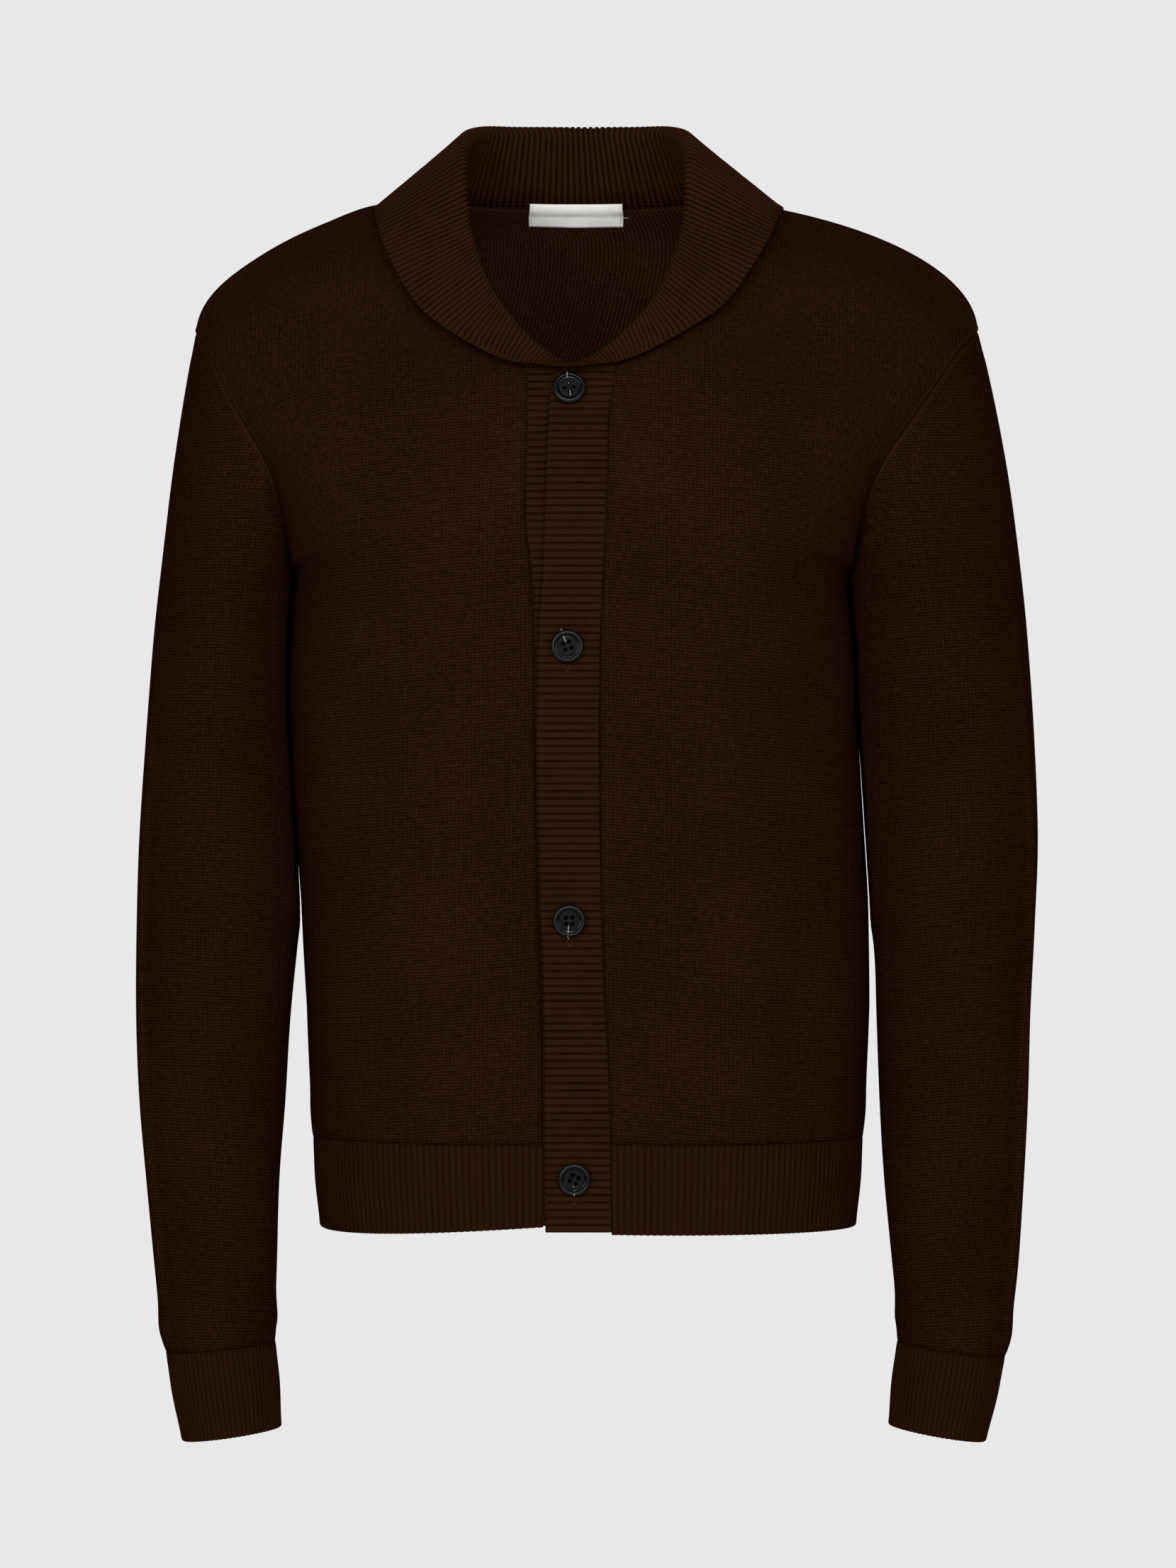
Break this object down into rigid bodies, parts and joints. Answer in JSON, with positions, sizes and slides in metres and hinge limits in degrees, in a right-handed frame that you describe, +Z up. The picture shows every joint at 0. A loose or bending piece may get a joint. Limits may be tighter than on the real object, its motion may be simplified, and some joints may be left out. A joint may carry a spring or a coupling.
{
  "type": "shawl collar cardigan",
  "caption": "Knitted long-sleeved cardigan with a ribbed shawl collar, buttoned front bands, ribbed hem and ribbed cuffs, in its hollow worn shape.",
  "frame": {"origin": "middle of the neck opening, level with the neck points of the two shoulder seams, where the garment hangs on its wearer", "axes": "+Z up the body, the front faces -Y, +X is the wearer's left"},
  "size_m": [0.5579, 0.2502, 0.8228],
  "materials": {
    "dark_brown_jersey": "matt plain knit",
    "dark_brown_rib": "matt rib knit",
    "plain_label": "matt woven tape",
    "dark_button": "polished"
  },
  "bodies": {
    "root": {"back": "dark_brown_jersey", "front_left": "dark_brown_jersey", "front_right": "dark_brown_jersey", "sleeve_left": "dark_brown_jersey", "sleeve_right": "dark_brown_jersey", "hem_back": "dark_brown_rib", "hem_front_left": "dark_brown_rib", "hem_front_right": "dark_brown_rib", "cuff_left": "dark_brown_rib", "cuff_right": "dark_brown_rib", "band_left": "dark_brown_rib", "band_right": "dark_brown_rib", "collar": "dark_brown_rib", "neck_label": "plain_label", "button_1": "dark_button", "button_2": "dark_button", "button_3": "dark_button", "button_4": "dark_button"}
  },
  "joints": []
}
